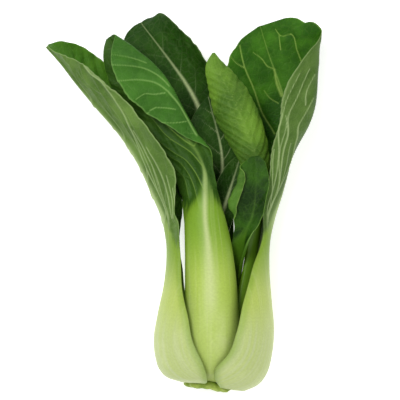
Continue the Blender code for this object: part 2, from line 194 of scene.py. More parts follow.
class Nodes:
    """A short way to lay out the nodes of one material.

    A value that is given as an object is a number, a colour, a vector or the
    output socket of another node.
    """

    def __init__(self, name: str) -> None:
        """Starts a material with its Principled shader.

        Args:
            name: The material's name.
        """
        self.material = bpy.data.materials.new(name)
        self.material.use_nodes = True
        self.tree = self.material.node_tree
        self.shader = self.tree.nodes["Principled BSDF"]

    def put(self, socket: Socket, value: object) -> None:
        """Sets an input socket to a value or links it.

        Args:
            socket: The input socket.
            value: The value.
        """
        if isinstance(value, Socket):
            self.tree.links.new(value, socket)
        elif isinstance(value, tuple) and len(value) == 3 and socket.type == "RGBA":
            socket.default_value = (*value, 1.0)
        else:
            socket.default_value = value

    def give(self, values: dict[str, object]) -> None:
        """Sets or links inputs of the shader by their names."""
        for name, value in values.items():
            self.put(self.shader.inputs[name], value)

    def node(self, kind: str, inputs: dict, **settings: object) -> bpy.types.Node:
        """A node with its settings and inputs.

        Args:
            kind: The node's type, without the first word.
            inputs: The value of each input, by its name or number.
            **settings: The node's own settings.

        Returns:
            The node.
        """
        node = self.tree.nodes.new("ShaderNode" + kind)
        for name, setting in settings.items():
            setattr(node, name, setting)
        for key, value in inputs.items():
            self.put(node.inputs[key], value)
        return node

    def read(self, name: str, output: str = "Fac") -> Socket:
        """What the mesh's attribute of that name holds."""
        return self.node("Attribute", {}, attribute_name=name).outputs[output]

    def maths(self, kind: str, first: object, second: object) -> Socket:
        """The result of a kind of sum on two numbers."""
        return self.node("Math", {0: first, 1: second}, operation=kind).outputs[0]

    def times(self, first: object, second: object) -> Socket:
        """One number times another."""
        return self.maths("MULTIPLY", first, second)

    def plus(self, first: object, second: object) -> Socket:
        """One number and another."""
        return self.maths("ADD", first, second)

    def vector(self, kind: str, first: object, second: object) -> Socket:
        """The result of a kind of sum on two vectors."""
        return self.node("VectorMath", {0: first, 1: second}, operation=kind).outputs[0]

    def mix(self, share: object, first: object, second: object) -> Socket:
        """A colour between two others, where share says how much of the second."""
        inputs = {"Factor": share, 6: first, 7: second}
        return self.node("Mix", inputs, data_type="RGBA").outputs[2]

    def span(self, value: object, low: float, high: float, start: float = 0.0,
             end: float = 1.0) -> Socket:
        """A value mapped from low and high to start and end, smoothly and clamped."""
        ends = {"From Min": low, "From Max": high, "To Min": start, "To Max": end}
        return self.node("MapRange", {"Value": value, **ends},
                         interpolation_type="SMOOTHSTEP").outputs["Result"]

    def noise(self, place: Socket, scale: float, detail: float = 3.0,
              rough: float = 0.55) -> Socket:
        """A noise from 0 to 1, detail being its octaves and rough their strength."""
        inputs = {"Vector": place, "Scale": scale, "Detail": detail, "Roughness": rough}
        return self.node("TexNoise", inputs).outputs[0]

    def cells(self, place: Socket, scale: float) -> Socket:
        """The distance to the nearest border of a net of cells."""
        inputs = {"Vector": place, "Scale": scale}
        return self.node("TexVoronoi", inputs, feature="DISTANCE_TO_EDGE").outputs["Distance"]

    def bump(self, height: Socket, strength: float, depth: float) -> None:
        """Gives the shader a bump, its depth in metres for a height of one."""
        inputs = {"Strength": strength, "Distance": depth, "Height": height}
        self.give({"Normal": self.node("Bump", inputs).outputs[0]})


@dataclass(frozen=True)
class LeafFinish:
    """The colours and surface of one leaf, stalk and blade."""

    upper: Rgb
    upper_light: Rgb
    under: Rgb
    under_light: Rgb
    vein_upper: Rgb
    vein_under: Rgb
    stalk_low: Rgb = tint(188, 200, 142)
    stalk_mid: Rgb = tint(176, 194, 96)
    stalk_high: Rgb = tint(124, 156, 52)
    stalk_top: Rgb = tint(120, 150, 74)
    streak: Rgb = tint(200, 210, 150)
    gloss: float = 0.2
    net: float = 0.05
    rim: float = 0.35
    blade_rough: float = 0.5
    stalk_rough: float = 0.34
    soft_depth: Rgb = (0.002, 0.003, 0.001)

    def material(self, name: str) -> bpy.types.Material:
        """Lays out the leaf's material.

        Args:
            name: The material's name.

        Returns:
            The finished material.
        """
        n = Nodes(name)
        grain = n.read("grain", "Vector")
        stalk = n.read("stalk")
        back = n.read("back")
        tone = n.read("tone")
        fine = n.noise(grain, 0.9, 3.0, 0.6)
        streak = n.noise(n.vector("MULTIPLY", grain, (0.45, 0.012, 1.0)), 1.0, 2.0, 0.5)
        blotch = n.noise(n.vector("MULTIPLY", grain, (0.1, 0.05, 1.0)), 1.0, 3.0, 0.5)
        patch = n.span(n.noise(grain, 0.05), 0.35, 0.68)

        # The blade, with the finest veins as two nets of cells with bent borders
        bent = n.vector("ADD", grain, n.times(n.noise(grain, 0.16, 2.0), 5.0))
        coarse_net = n.times(n.span(n.cells(bent, 0.22), 0.0, 0.1, 1.0, 0.0), 0.9)
        fine_net = n.times(n.span(n.cells(bent, 0.6), 0.0, 0.14, 1.0, 0.0), 0.4)
        net = n.maths("MAXIMUM", coarse_net, fine_net)
        upper = n.mix(patch, self.upper, self.upper_light)
        under = n.mix(patch, self.under, self.under_light)
        vein_colour = n.mix(back, self.vein_upper, self.vein_under)
        blade = n.mix(n.times(net, self.net), n.mix(back, upper, under), vein_colour)

        # The stalk, greener the further it is from the root and at its flanks
        stem = n.mix(n.span(streak, 0.32, 0.7, 0.0, 0.6), self.stalk_low, self.stalk_mid)
        stem = n.mix(n.span(blotch, 0.5, 0.7, 0.0, 0.5), stem, self.streak)
        stem = n.mix(n.span(tone, 0.0, 0.45), stem, self.stalk_mid)
        stem = n.mix(n.span(tone, 0.45, 1.0), stem, self.stalk_high)
        stem = n.mix(n.span(tone, 1.0, 2.0), stem, self.stalk_top)
        stem = n.mix(n.read("flank"), stem, self.stalk_high)
        stem = n.mix(n.span(streak, 0.5, 0.8, 0.0, 0.3), stem, self.streak)
        # A painted highlight: a pale line along the middle of the stalk's outer face
        stem = n.mix(n.times(n.read("ridge_highlight"), 0.65), stem, self.streak)

        # Both together, with a streaky border, the veins, the rim and fine mottling
        border = n.plus(stalk, n.times(n.maths("SUBTRACT", streak, 0.5), 1.2))
        colour = n.mix(n.span(border, 0.2, 0.8), blade, stem)
        colour = n.mix(n.span(n.read("vein"), 0.05, 1.0), colour, vein_colour)
        colour = n.mix(n.times(n.read("rim"), self.rim), colour, vein_colour)
        rough = n.plus(n.times(stalk, self.stalk_rough - self.blade_rough), self.blade_rough)
        n.give({
            "Base Color": n.vector("MULTIPLY", colour, n.span(fine, 0.2, 0.8, 0.92, 1.06)),
            "Roughness": n.plus(rough, n.times(fine, 0.12)),
            "Specular IOR Level": self.gloss,
            "Subsurface Weight": 0.03,
            "Subsurface Radius": self.soft_depth,
            "Subsurface Scale": 1.0,
        })
        cushions = n.times(n.maths("SUBTRACT", 1.0, net), n.maths("SUBTRACT", 1.0, stalk))
        height = n.plus(n.plus(cushions, n.times(fine, 0.5)), n.times(streak, 0.8))
        n.bump(height, 0.45, 0.0004)
        return n.material


class Run(NamedTuple):
    """How the laterals of one half leave the midrib, in millimetres and degrees."""

    spacing: float
    angle: float
    bend: float


class Drawn(NamedTuple):
    """A main vein as it shows from above: its points and width in millimetres.

    Where the leaf lies over itself there, upper says whether it is on top.
    """

    points: tuple[tuple[float, float], ...]
    width: float
    upper: bool = True


@dataclass
class Veins:
    """The vein tree of a blade, in millimetres on the flattened leaf.

    The midrib runs along the middle and laterals leave it on both sides,
    bending towards the tip, and each lateral gives off smaller ones.
    """

    first: float
    last: float
    left: Run
    right: Run
    width: float
    strength: float
    seed: int
    twigs: int = 3
    bristles: float = 0.0
    drawn: tuple[Drawn, ...] = ()
    lines: list = field(default_factory=list)

    def grow(self, reach: Callable[[float, int], float]) -> None:
        """Lays the veins out.

        Args:
            reach: The half width for a place along the leaf and a side.
        """
        self.reach = reach
        self.dice = np.random.default_rng(self.seed)
        for side, run in ((-1, self.left), (1, self.right)):
            along = self.first + self.dice.uniform(0, run.spacing)
            while along < self.last:
                self.lateral(along, side, run)
                along += run.spacing * self.dice.uniform(0.8, 1.2)
        if self.bristles:
            self.bristle()

    def bristle(self) -> None:
        """Short fine veins that stand off the midrib on both sides."""
        spacing = 1.7
        widths = np.array([0.26, 0.16])
        for along in np.arange(self.first, self.last, spacing):
            side = 1 if self.dice.uniform() > 0.5 else -1
            length = self.bristles * self.dice.uniform(0.4, 1.0)
            slant = self.dice.uniform(0.0, 0.7) * length
            path = np.array([[along, 0.0], [along + slant, side * length]])
            self.lines.append((path, widths))

    def trace(self, flat: np.ndarray, run: np.ndarray, across: np.ndarray) -> None:
        """Lays the drawn veins on the leaf.

        Args:
            flat: The places of the sheet.
            run: The distance along the leaf of each place.
            across: The signed distance across it.
        """
        same_spot = 1.0
        for vein in self.drawn:
            height = flat[..., 2] if vein.upper else -flat[..., 2]
            found = []
            for x, y in vein.points:
                gap = np.hypot(flat[..., 0] - x, flat[..., 1] - y)
                near = gap < gap.min() + same_spot
                at = np.unravel_index(np.argmax(np.where(near, height, -np.inf)), gap.shape)
                found.append([run[at], across[at], 0.0])
            path = through(np.array(found), np.linspace(0, 1, 8 * len(found)))[:, :2]
            wide = vein.width * np.linspace(1.0, 0.75, len(path))
            self.lines.append((path, wide / self.strength ** 0.5))

    def lateral(self, along: float, side: int, run: Run) -> None:
        """One lateral, swaying a little, with its smaller veins.

        Args:
            along: Where it leaves the midrib.
            side: The half of the leaf that it is on.
            run: How the laterals of that half run.
        """
        step = 3.0
        most_steps = 60
        stop_at = 0.94
        angle = math.radians(run.angle * self.dice.uniform(0.9, 1.1))
        here = np.array([along, 0.0])
        points = [here]
        sway = self.dice.uniform(0, math.tau)
        for count in range(most_steps):
            share = here[1] / max(self.reach(here[0], side), 1.0)
            heading = angle * (1 - run.bend * min(share, 1.0))
            heading += 0.07 * math.sin(count * 0.7 + sway)
            here = here + step * np.array([math.cos(heading), math.sin(heading)])
            points.append(here)
            if here[1] > stop_at * self.reach(here[0], side):
                break
        path = np.array(points)
        path[:, 1] *= side
        t = np.linspace(0, 1, len(path))
        self.lines.append((path, self.width * (1.15 - 0.85 * t)))
        for twig in range(self.twigs):
            start = 0.2 + 0.72 * (twig + self.dice.uniform(0.1, 0.9)) / self.twigs
            turn = 1 if (twig + (side > 0)) % 2 else -1
            self.twig(path, start, turn, step * len(path))

    def twig(self, path: np.ndarray, start: float, turn: int, whole: float) -> None:
        """A smaller vein that leaves a lateral.

        Args:
            path: The lateral's points.
            start: Where it leaves, as a share of the lateral.
            turn: Which way it turns off.
            whole: The length of the lateral.
        """
        steps = 4
        straighten = 0.18
        at = min(start, 0.97) * (len(path) - 1)
        low = int(at)
        share = at - low
        heading = path[low + 1] - path[low]
        heading = heading / np.linalg.norm(heading)
        angle = turn * math.radians(self.dice.uniform(32, 55))
        length = whole * self.dice.uniform(0.16, 0.3)
        points = [path[low] * (1 - share) + path[low + 1] * share]
        for step in range(steps):
            bend = angle * (1 - straighten * step)
            way = np.array([
                heading[0] * math.cos(bend) - heading[1] * math.sin(bend),
                heading[0] * math.sin(bend) + heading[1] * math.cos(bend),
            ])
            points.append(points[-1] + way * length / steps)
        wide = self.width * np.linspace(0.55, 0.2, steps + 1)
        self.lines.append((np.array(points), wide))

    def strengths(self, along: np.ndarray, across: np.ndarray, blur: float) -> np.ndarray:
        """How strongly each place lies on a vein.

        Args:
            along: Distance along the leaf of each place.
            across: Signed distance across it.
            blur: How much wider than drawn the veins are read, in millimetres.

        Returns:
            A value from 0 to 1 for each place.
        """
        widths_read = 2.6
        full_width = 0.4
        found = np.zeros_like(along)
        for path, wide in self.lines:
            for step, (start, end) in enumerate(zip(path, path[1:])):
                margin = widths_read * (wide[step] + blur)
                low = np.minimum(start, end) - margin
                high = np.maximum(start, end) + margin
                near = (along > low[0]) & (along < high[0]) & (across > low[1]) & (across < high[1])
                if not near.any():
                    continue
                run = end - start
                there = along[near] - start[0]
                aside = across[near] - start[1]
                t = np.clip((there * run[0] + aside * run[1]) / (run @ run), 0, 1)
                gap = np.hypot(there - t * run[0], aside - t * run[1])
                width = wide[step] * (1 - t) + wide[step + 1] * t + blur
                strength = np.exp(-((gap / width) ** 2)) * np.minimum(width / full_width, 1.0)
                found[near] = np.maximum(found[near], strength)
        return found * self.strength


@dataclass
class Leaf:
    """One leaf from the cut root to its tip, as one closed shell."""

    name: str
    stations: tuple[Station, ...]
    finish: LeafFinish
    veins: Veins
    blade_from: float
    rows: int = 300
    columns: int = 130
    fold_side: Side = Side.NONE
    fold_over: float = 9.0
    wave: float = 1.0
    waves: float = 4.0
    phase: float = 0.0
    teeth: float = 0.5
    tooth_every: float = 5.0
    quilt: float = 0.7
    relief: float = 0.35
    rib_upper: float = 0.3
    rib_under: float = 0.6
    ridge: float = 1.0
    core: float = 1.1
    pale_rib: float = 1.0
    # Strength of the painted highlight along the middle of the stalk
    ridge_highlight: float = 0.0
    flank: float = 0.0
    flank_from: float = 0.3
    green_from: float = -6.0

    def nodes(self) -> tuple[str, str]:
        """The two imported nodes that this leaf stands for."""
        return (self.name + "_stalk", self.name + "_blade")

    def lay(self) -> None:
        """Works out the sections at every row of the shell."""
        upright_to = 62.0
        upright_over = 36.0
        blade_before = 8
        blade_over = 20
        half_step = 1e-3
        widths = slice(4, 6)
        curls = slice(6, 8)
        keys = np.array(self.stations, float)
        keys[:, curls] = np.radians(keys[:, curls]) / keys[:, widths]
        at = np.linspace(0, 1, self.rows + 1)
        rows = through(keys, at)
        section = Station(*rows.T[..., None])
        ahead = through(keys, np.minimum(at + half_step, 1))[:, :3]
        behind = through(keys, np.maximum(at - half_step, 0))[:, :3]
        along = ahead - behind
        along /= np.linalg.norm(along, axis=1, keepdims=True)
        upright = np.clip((upright_to - section.y) / upright_over, 0, 1)
        along = along * (1 - upright) + np.array([0.0, 1.0, 0.0]) * upright
        along /= np.linalg.norm(along, axis=1, keepdims=True)
        face = np.radians(section.face)
        inner = np.hstack([np.sin(face), np.zeros_like(face), np.cos(face)])
        inner -= (inner * along).sum(axis=1, keepdims=True) * along
        inner /= np.linalg.norm(inner, axis=1, keepdims=True)
        self.middle = rows[:, :3]
        self.inner = inner
        self.sideways = np.cross(along, inner)
        self.half = {-1: section.left, 1: section.right}
        self.curl = {-1: section.curl_left, 1: section.curl_right}
        self.rib = section.rib
        self.thick = section.thick
        self.fold = np.radians(section.fold)
        self.fold_at = section.fold_at
        steps = np.linalg.norm(np.diff(self.middle, axis=0), axis=1)
        self.run = np.concatenate([[0.0], np.cumsum(steps)])
        self.bladed = smooth((section.y - self.blade_from + blade_before) / blade_over)

    def wing(self, side: int, shares: np.ndarray) -> tuple[np.ndarray, np.ndarray, np.ndarray]:
        """The middle sheet of one half.

        Args:
            side: The half, -1 or 1.
            shares: Shares of the half width, from 0 to 1.

        Returns:
            The places, the normals and the distances across.
        """
        tip_over = 12
        tooth_peak = 0.35
        run = self.run[:, None]
        tooth = self.teeth * np.abs(((run / self.tooth_every) % 1.0) - tooth_peak)
        tooth = tooth * self.bladed * np.clip((run[-1] - run) / tip_over, 0, 1)
        across = self.half[side] * shares
        across = across - tooth * shares ** 10
        turn = self.curl[side] * across
        if side == self.fold_side.value:
            turn = turn + self.fold * smooth((across - self.fold_at) / self.fold_over)
        mean = (turn[:, 1:] + turn[:, :-1]) / 2
        step = np.diff(across, axis=1)
        zero = np.zeros((len(across), 1))
        out = np.concatenate([zero, np.cumsum(np.cos(mean) * step, axis=1)], axis=1)
        up = np.concatenate([zero, np.cumsum(np.sin(mean) * step, axis=1)], axis=1)
        place = (
            self.middle[:, None, :]
            + side * out[..., None] * self.sideways[:, None, :]
            + up[..., None] * self.inner[:, None, :]
        )
        normal = (
            -side * np.sin(turn)[..., None] * self.sideways[:, None, :]
            + np.cos(turn)[..., None] * self.inner[:, None, :]
        )
        return place, normal, side * across

    def sheet(self) -> None:
        """Lays out the middle sheet over the whole leaf, both halves together."""
        half_columns = self.columns // 2
        shares = np.linspace(0, 1, half_columns + 1)
        left = self.wing(-1, shares)
        right = self.wing(1, shares)
        self.place, self.normal, self.across = (
            np.concatenate([a[:, :0:-1], b], axis=1) for a, b in zip(left, right)
        )
        self.shares = np.concatenate([-shares[:0:-1], shares])
        self.along = self.run[:, None] * np.ones_like(self.shares)

    def reach(self, along: float, side: int) -> float:
        """The half width of the leaf at a place along it."""
        return float(np.interp(along, self.run, self.half[side][:, 0]))

    def depths(self) -> tuple[np.ndarray, np.ndarray]:
        """How far the inner and the outer skin lie from the middle sheet.

        Returns:
            The two heights over the sheet, in millimetres.
        """
        clear = 0.75
        rim = 1.5
        half_blade = 0.4
        groove = 0.35
        rib_rise = 0.35
        edge_from = 0.93
        edge_over = 0.07
        share = np.abs(self.shares)
        blade = self.bladed
        rounded = ((share - edge_from) / edge_over).clip(0, 1) ** 2
        edge = np.sqrt(np.clip(1 - rounded, 0.06, 1))
        half = np.where(self.shares < 0, self.half[-1], self.half[1])
        rib = np.minimum(self.rib, half)
        t = np.clip(np.abs(self.across) / np.maximum(rib, 0.1), 0, 1)
        body = rim + (self.thick - rim).clip(0) * (1 - t * t) ** 0.75
        soft = np.abs(self.across) / np.maximum(rib * 1.3, 0.1)
        ridge = (rib_rise + self.thick) * 0.5 * (1 + np.cos(math.pi * soft.clip(0, 1)))
        ridge = ridge * (1 - (1 - self.ridge) * blade)
        dip = groove * np.exp(-((self.across / np.maximum(rib, 0.8)) ** 2))
        inner = -clear * (1 - blade) + (half_blade * edge - dip) * blade
        outer = (-clear - body * edge) * (1 - blade) + (-half_blade * edge - ridge) * blade
        return inner, outer

    def skins(self) -> np.ndarray:
        """The two skins of the shell.

        Returns:
            The places in metres: layer, row, column and x, y, z.
        """
        tip_over = 14
        floor = np.array([0.0, 0.02])[:, None, None]
        floor_near = 1.5
        blade = self.bladed
        share = np.abs(self.shares)
        sides = np.sign(self.shares)
        along = (self.along - self.run[0]) / (self.run[-1] - self.run[0])
        tip = np.clip((self.run[-1] - self.run)[:, None] / tip_over, 0, 1)
        ripple = np.sin(along * self.waves * math.tau * 1.5 + self.phase + sides)
        fine = np.sin(along * self.waves * math.tau * 4.3 + self.phase * 2 + 2 * sides)
        wave = self.wave * share ** 3 * ripple + 0.3 * self.wave * share ** 7 * fine
        puckered = self.quilt * (1 - self.broad) * blade * tip * np.minimum(share * 3, 1)
        lift = wave * tip * blade + puckered - self.quilt * blade * 0.5
        raised = self.relief * self.vein * blade
        inner, outer = self.depths()
        shell = np.stack([
            leaned(self.place + (lift + deep)[..., None] * self.normal)
            for deep in (inner - raised * 0.5, outer - raised)
        ])
        near = shell[..., 2]
        shell[..., 2] = np.where(near < floor_near, np.maximum(near, floor), near)
        return shell * MM

    def build(self) -> bpy.types.Object:
        """Makes the leaf's shell and dresses it.

        Returns:
            The finished piece.
        """
        self.lay()
        self.sheet()
        self.veins.grow(self.reach)
        self.veins.trace(leaned(self.place), self.along, self.across)
        quilting = 1.6
        self.vein = self.veins.strengths(self.along, self.across, 0.0)
        self.broad = self.veins.strengths(self.along, self.across, quilting)
        rib = np.exp(-((self.across / (self.rib * 0.8)) ** 2)) * self.bladed
        self.broad = np.maximum(self.broad / self.veins.strength, rib)
        piece = self.slab()
        self.shape(piece)
        piece.data.materials.append(self.finish.material(self.name + "_leaf"))
        return piece

    def slab(self) -> bpy.types.Object:
        """A flat slab of the right number of cells, as a start for the shell.

        Returns:
            The slab.
        """
        deselected()
        bpy.ops.mesh.primitive_grid_add(
            x_subdivisions=self.columns, y_subdivisions=self.rows, size=1.0
        )
        piece = bpy.context.object
        piece.name = self.name + "_leaf"
        piece.data.name = self.name + "_leaf"
        bpy.ops.object.mode_set(mode="EDIT")
        bpy.ops.mesh.select_all(action="SELECT")
        bpy.ops.mesh.extrude_region_move(TRANSFORM_OT_translate={"value": (0.0, 0.0, 1.0)})
        bpy.ops.object.mode_set(mode="OBJECT")
        return piece

    def shape(self, piece: bpy.types.Object) -> None:
        """Moves the slab's points into the leaf's skins and stores its tissue.

        Args:
            piece: The slab.
        """
        grain_apart = 40.0
        rim_from = 0.965
        rim_over = 0.03
        flat = points_of(piece.data)
        column = np.rint((flat[:, 0] + 0.5) * self.columns).astype(int)
        row = np.rint((flat[:, 1] + 0.5) * self.rows).astype(int)
        layer = (flat[:, 2] < 0.5).astype(int)
        move_points(piece.data, self.skins()[layer, row, column])
        stalk, tone = self.tissue()
        flank, ridge_highlight = self.accents()
        rim = smooth((np.abs(self.shares) - rim_from) / rim_over) * self.bladed
        across = self.across[row, column]
        values = {
            "grain": np.stack([across, self.along[row, column], layer * grain_apart], axis=1),
            "vein": self.lines()[layer, row, column],
            "back": layer,
            "stalk": stalk[layer, row, column],
            "rim": rim[row, column],
            "tone": tone[row, column],
            "flank": flank[row, column] * layer,
            "ridge_highlight": ridge_highlight[row, column] * layer,
        }
        for name, each in values.items():
            kind, word = ("FLOAT_VECTOR", "vector") if each.ndim > 1 else ("FLOAT", "value")
            stored = piece.data.attributes.new(name, kind, "POINT")
            stored.data.foreach_set(word, np.ascontiguousarray(each, np.float32).ravel())
        piece.data.update()
        face_outwards()
        bpy.ops.object.shade_smooth()

    def lines(self) -> np.ndarray:
        """How strongly each place is a vein or the pale midrib.

        Returns:
            The strength on the inner and the outer skin, from 0 to 1.
        """
        blade = self.bladed
        least = 0.35
        fade = 1 - smooth((self.run / self.run[-1] - 0.5) / 0.5)[:, None]
        skins = []
        for rib_share, narrowest in ((self.rib_upper, 0.35), (self.rib_under, 0.4)):
            wide = np.maximum(self.rib * rib_share, narrowest)
            rib = np.exp(-((self.across / wide) ** 2)) * blade * (least + (1 - least) * fade)
            skins.append(np.maximum(self.vein * blade, rib * self.pale_rib))
        return np.stack(skins)

    def tissue(self) -> tuple[np.ndarray, np.ndarray]:
        """How much of each place is stalk, and how green the stalk is there.

        Returns:
            The stalk share of both skins, from 0 to 1, and the tone, from 0 to 2.
        """
        narrowest = 0.8
        lead = 6
        upper_over = 18
        under_over = 34
        pale_from = -14
        pale_over = self.blade_from + 18
        dark_over = 22
        y = self.middle[:, 1:2]
        ahead = y - self.blade_from
        middle = 1 - smooth(np.abs(self.across) / np.maximum(self.rib, narrowest) / self.core)
        on_rib = middle * 1.3 * self.ridge
        upper = 1 - smooth((ahead + lead) / upper_over + 0.5 - middle * 0.5)
        under = 1 - smooth((ahead - self.green_from) / under_over + 0.5 - on_rib)
        tone = smooth((y - pale_from) / pale_over) + smooth((ahead + lead) / dark_over)
        return np.stack([upper, under]), tone * np.ones_like(self.across)

    def accents(self) -> tuple[np.ndarray, np.ndarray]:
        """The greener flanks of the stalk and a painted highlight along the middle of its ridge.

        Returns:
            The flank and the painted ridge highlight over the sheet, from 0 to 1.
        """
        narrowest = 1.0
        highlight_from = 4
        rise_over = 24
        highlight_to = 125
        fall_over = 50
        y = self.middle[:, 1:2]
        share = np.abs(self.across) / np.maximum(self.rib, narrowest)
        flank = self.flank * smooth((share - self.flank_from) / (1 - self.flank_from))
        # A painted highlight along the middle of the stalk, wider towards the root
        wide = 1.1 + 1.5 * smooth((70 - y) / 40)
        ridge_highlight = self.ridge_highlight * np.exp(-((self.across / wide) ** 2))
        ridge_highlight = ridge_highlight * smooth((y - highlight_from) / rise_over) * smooth((highlight_to - y) / fall_over)
        return flank, ridge_highlight


# Stalk colours for the inner leaves, darkened to green as painted shade: their stalks lie in the
# shade of the outer leaves
SHADED_STALK = {
    "stalk_low": tint(122, 154, 44),
    "stalk_mid": tint(92, 130, 28),
    "stalk_high": tint(62, 100, 18),
    "stalk_top": tint(60, 96, 22),
    "streak": tint(112, 148, 50),
}
# The leaves' own dark green, darkened further as painted shade for the leaves deep in the head
DARK_SHADED = LeafFinish(
    upper=tint(24, 60, 2), upper_light=tint(40, 78, 10),
    under=tint(76, 108, 40), under_light=tint(88, 120, 50),
    vein_upper=tint(206, 222, 160), vein_under=tint(150, 176, 104),
    gloss=0.12, net=0.03, rim=0.15, **SHADED_STALK,
)
LIT = LeafFinish(
    upper=tint(34, 82, 0), upper_light=tint(62, 116, 16),
    under=tint(68, 100, 34), under_light=tint(90, 120, 52),
    vein_upper=tint(164, 196, 92), vein_under=tint(178, 198, 138),
    gloss=0.14, net=0.04,
)
ROLLED = LeafFinish(
    upper=tint(62, 112, 18), upper_light=tint(86, 134, 34),
    under=tint(74, 106, 38), under_light=tint(100, 132, 58),
    vein_upper=tint(150, 186, 96), vein_under=tint(178, 198, 138),
    gloss=0.16, net=0.04,
)
# The under colours are darker than the upper ones as painted shade on the wing that lies under the
# folded flap
MEADOW = LeafFinish(
    upper=tint(46, 94, 16), upper_light=tint(62, 114, 28),
    under=tint(40, 76, 12), under_light=tint(56, 94, 22),
    vein_upper=tint(140, 180, 96), vein_under=tint(130, 164, 66),
    stalk_low=tint(180, 198, 112), stalk_mid=tint(166, 190, 80), stalk_high=tint(118, 156, 40),
    stalk_top=tint(72, 112, 28),
)
OLIVE_GREEN = LeafFinish(
    upper=tint(52, 92, 14), upper_light=tint(66, 106, 22),
    under=tint(66, 104, 24), under_light=tint(102, 142, 40),
    vein_upper=tint(140, 172, 74), vein_under=tint(148, 178, 84),
    net=0.12, rim=0.7, **SHADED_STALK,
)
# The nearly black upper colours are painted shade inside the curl
CURLED = LeafFinish(
    upper=tint(16, 46, 0), upper_light=tint(46, 88, 8),
    under=tint(54, 92, 20), under_light=tint(78, 120, 36),
    vein_upper=tint(104, 148, 50), vein_under=tint(140, 176, 84),
    net=0.08, rim=0.9, gloss=0.16, **SHADED_STALK,
)


@dataclass
class LeftLeaf(Leaf):
    """The large outer leaf at the left, its back showing, its far edge rolled over."""

    name: str = "left"
    stations: tuple[Station, ...] = sections(
        (-14.5, -26, 29, 90, 18.5, 16.5, 65, 56, 18.5, 5.5),
        (-19.5, -23.5, 29, 90, 28, 22.5, 73, 58, 28, 8.2),
        (-23, -19, 29, 90, 33.7, 27.6, 72, 59, 33.7, 9),
        (-26, -11, 29.2, 90, 36.7, 30.4, 64, 55, 36.7, 8.6),
        (-27.5, -1, 29.5, 90, 35.5, 31, 54, 54, 35.5, 8),
        (-26, 14, 29, 90, 31.7, 28.4, 42, 49, 31.7, 7.2),
        (-23.5, 34, 29, 90, 21, 18, 27, 38, 21, 5.6),
        (-23.5, 57, 30, 90, 14.5, 9, 30, 40, 12, 4.5),
        (-26.5, 72, 31, 90, 16.5, 18, 36, 52, 8, 3.8),
        (-34, 89, 32, 90, 27, 28, 56, 70, 5.5, 3.2),
        (-41.8, 105, 30, 90, 30, 34, 46, 82, 4.2, 2.7),
        (-53, 122, 26.5, 90, 30, 37, 36, 86, 3.2, 2.2),
        (-70.5, 142, 24, 90, 30, 34, 46, 94, 2.4, 1.8),
        (-82.5, 156, 24, 90, 24, 28, 50, 92, 1.8, 1.4),
        (-90.5, 166, 25, 90, 14, 21, 54, 84, 1.3, 1.1),
        (-95, 171, 26, 90, 8, 14, 44, 70, 1.2, 1),
        (-98, 174.3, 27, 90, 4, 8, 20, 40, 1, 1),
        (-99.4, 175.9, 27.5, 90, 1.5, 3, 4, 8, 1, 1),
    )
    finish: LeafFinish = ROLLED
    veins: Veins = field(default_factory=lambda: Veins(
        first=84, last=190, left=Run(30, 20, 0.3), right=Run(16, 26, 0.2),
        width=0.5, strength=0.55, twigs=2, seed=11, drawn=(
            Drawn(((-28, 68), (-35, 83), (-41, 101), (-47, 119), (-56, 137), (-65, 151),
                   (-78, 163)), 0.7),
            Drawn(((-27, 66), (-33, 83), (-37, 98), (-43, 112), (-52, 129)), 0.6),
            Drawn(((-26, 70), (-31, 86), (-36, 101), (-41, 112), (-48, 124)), 0.6),
            Drawn(((-25, 72), (-28, 87), (-33, 101), (-40, 114)), 0.6),
            Drawn(((-24, 72), (-25, 84), (-29, 97)), 0.5),
            Drawn(((-22, 74), (-22, 82), (-25, 90)), 0.45),
        )))
    blade_from: float = 63.0
    phase: float = 0.6
    rows: int = 320
    columns: int = 150
    quilt: float = 1.1
    relief: float = 0.8
    flank: float = 0.6
    flank_from: float = 0.86


